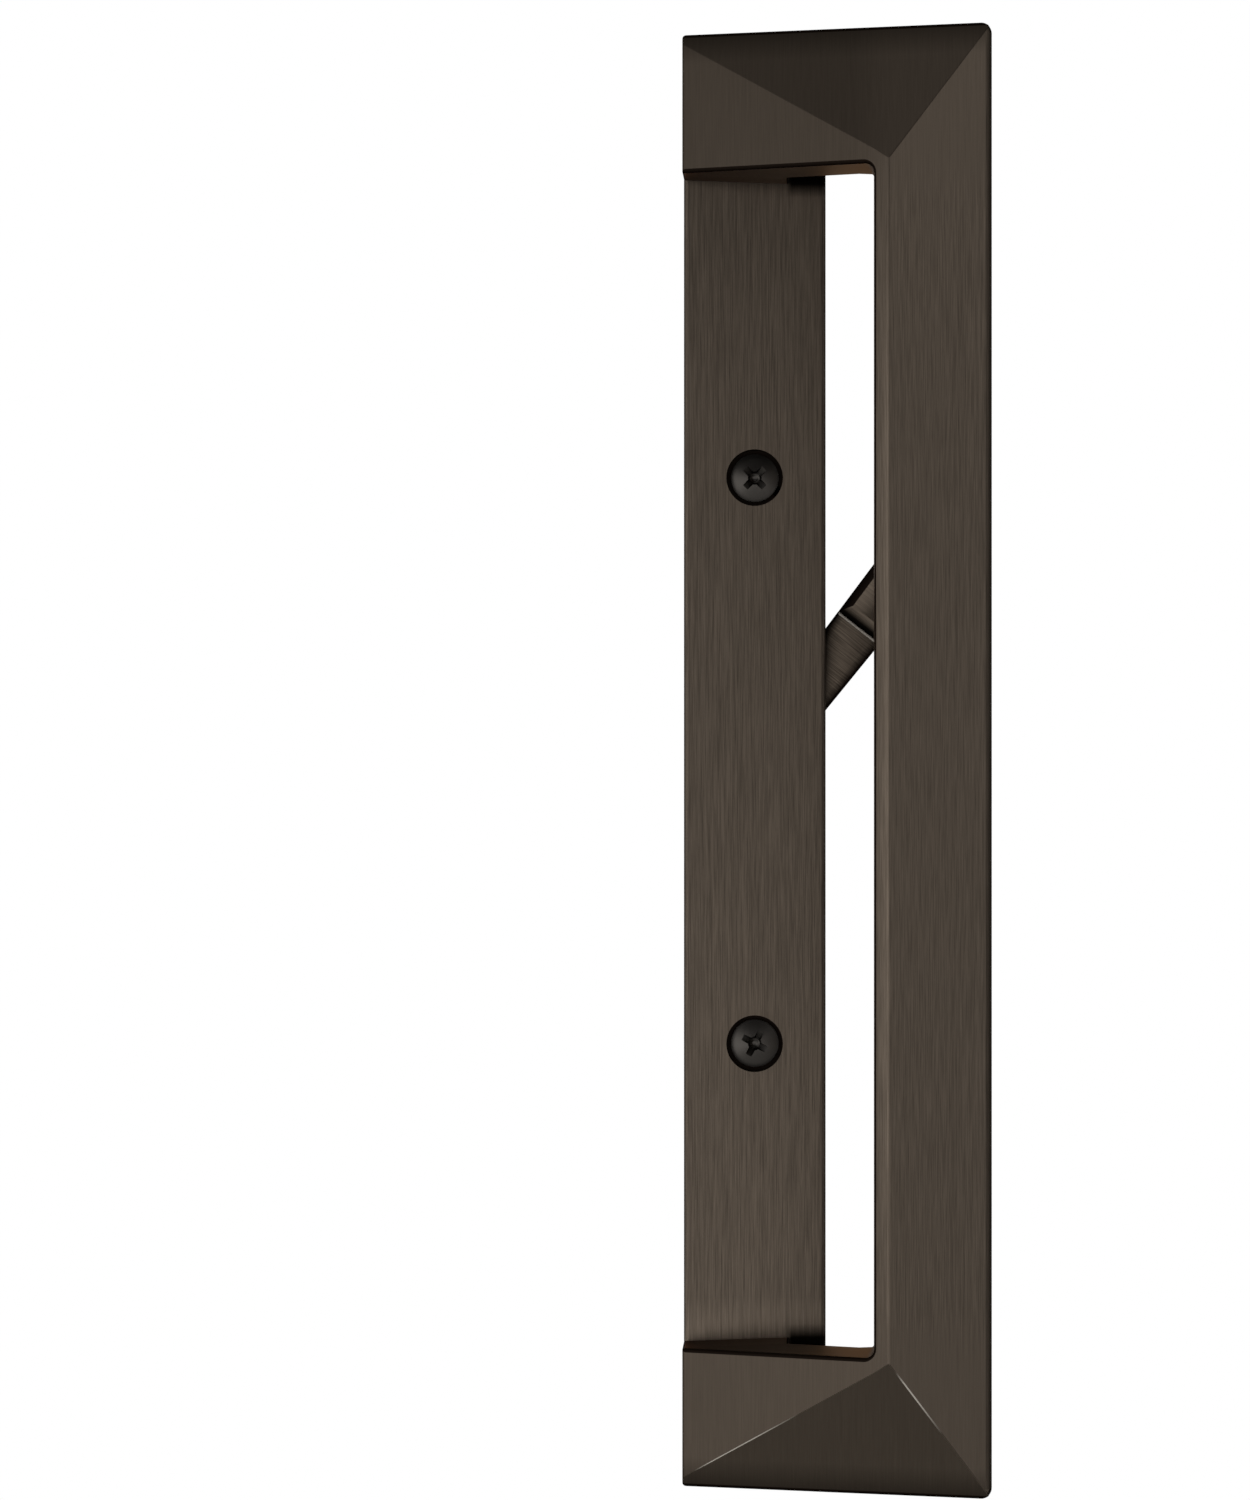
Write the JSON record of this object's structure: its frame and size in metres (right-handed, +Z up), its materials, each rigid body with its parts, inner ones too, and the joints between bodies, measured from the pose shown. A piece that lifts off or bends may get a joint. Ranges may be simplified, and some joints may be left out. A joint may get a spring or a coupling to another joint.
{
  "type": "sliding door handle",
  "caption": "Faceted inside pull handle for a sliding patio door: offset grip on a long plate, thumb latch lever with tailpiece, screws into the door.",
  "frame": {"origin": "on the door face, midway between the two mounting screws", "axes": "+X towards the grip, +Y into the door, +Z up along the plate; the handle faces -Y"},
  "size_m": [0.0537, 0.0892, 0.254],
  "materials": {
    "plate_bronze": "dark bronze, brushed lengthwise",
    "pull_bronze": "dark bronze, brushed lengthwise",
    "lever_bronze": "dark bronze, brushed across",
    "black_screw": "black oxide, satin",
    "zinc_screw": "zinc plated",
    "plain_steel": "plain stamped steel",
    "spring_steel": "dark spring steel",
    "white_nylon": "natural nylon"
  },
  "bodies": {
    "plate": {"escutcheon": "plate_bronze", "pull_grip": "pull_bronze", "lever_retainer": "plain_steel", "disc_spring": "spring_steel", "thrust_washer": "white_nylon", "mounting_screw_upper": "black_screw", "mounting_screw_lower": "black_screw", "retainer_screw_upper": "zinc_screw", "retainer_screw_lower": "zinc_screw", "grip_screw_upper_outer": "zinc_screw", "grip_screw_upper_inner": "zinc_screw", "grip_screw_lower_outer": "zinc_screw", "grip_screw_lower_inner": "zinc_screw"},
    "lever": {"thumb_lever": "lever_bronze", "tailpiece": "plain_steel"}
  },
  "joints": [
    {"name": "lever_turn", "type": "hinge", "parent": "plate", "child": "lever", "pos_m": [0, -0.00895, 0], "axis": [0, 1, 0], "range_deg": [0, 100]}
  ]
}
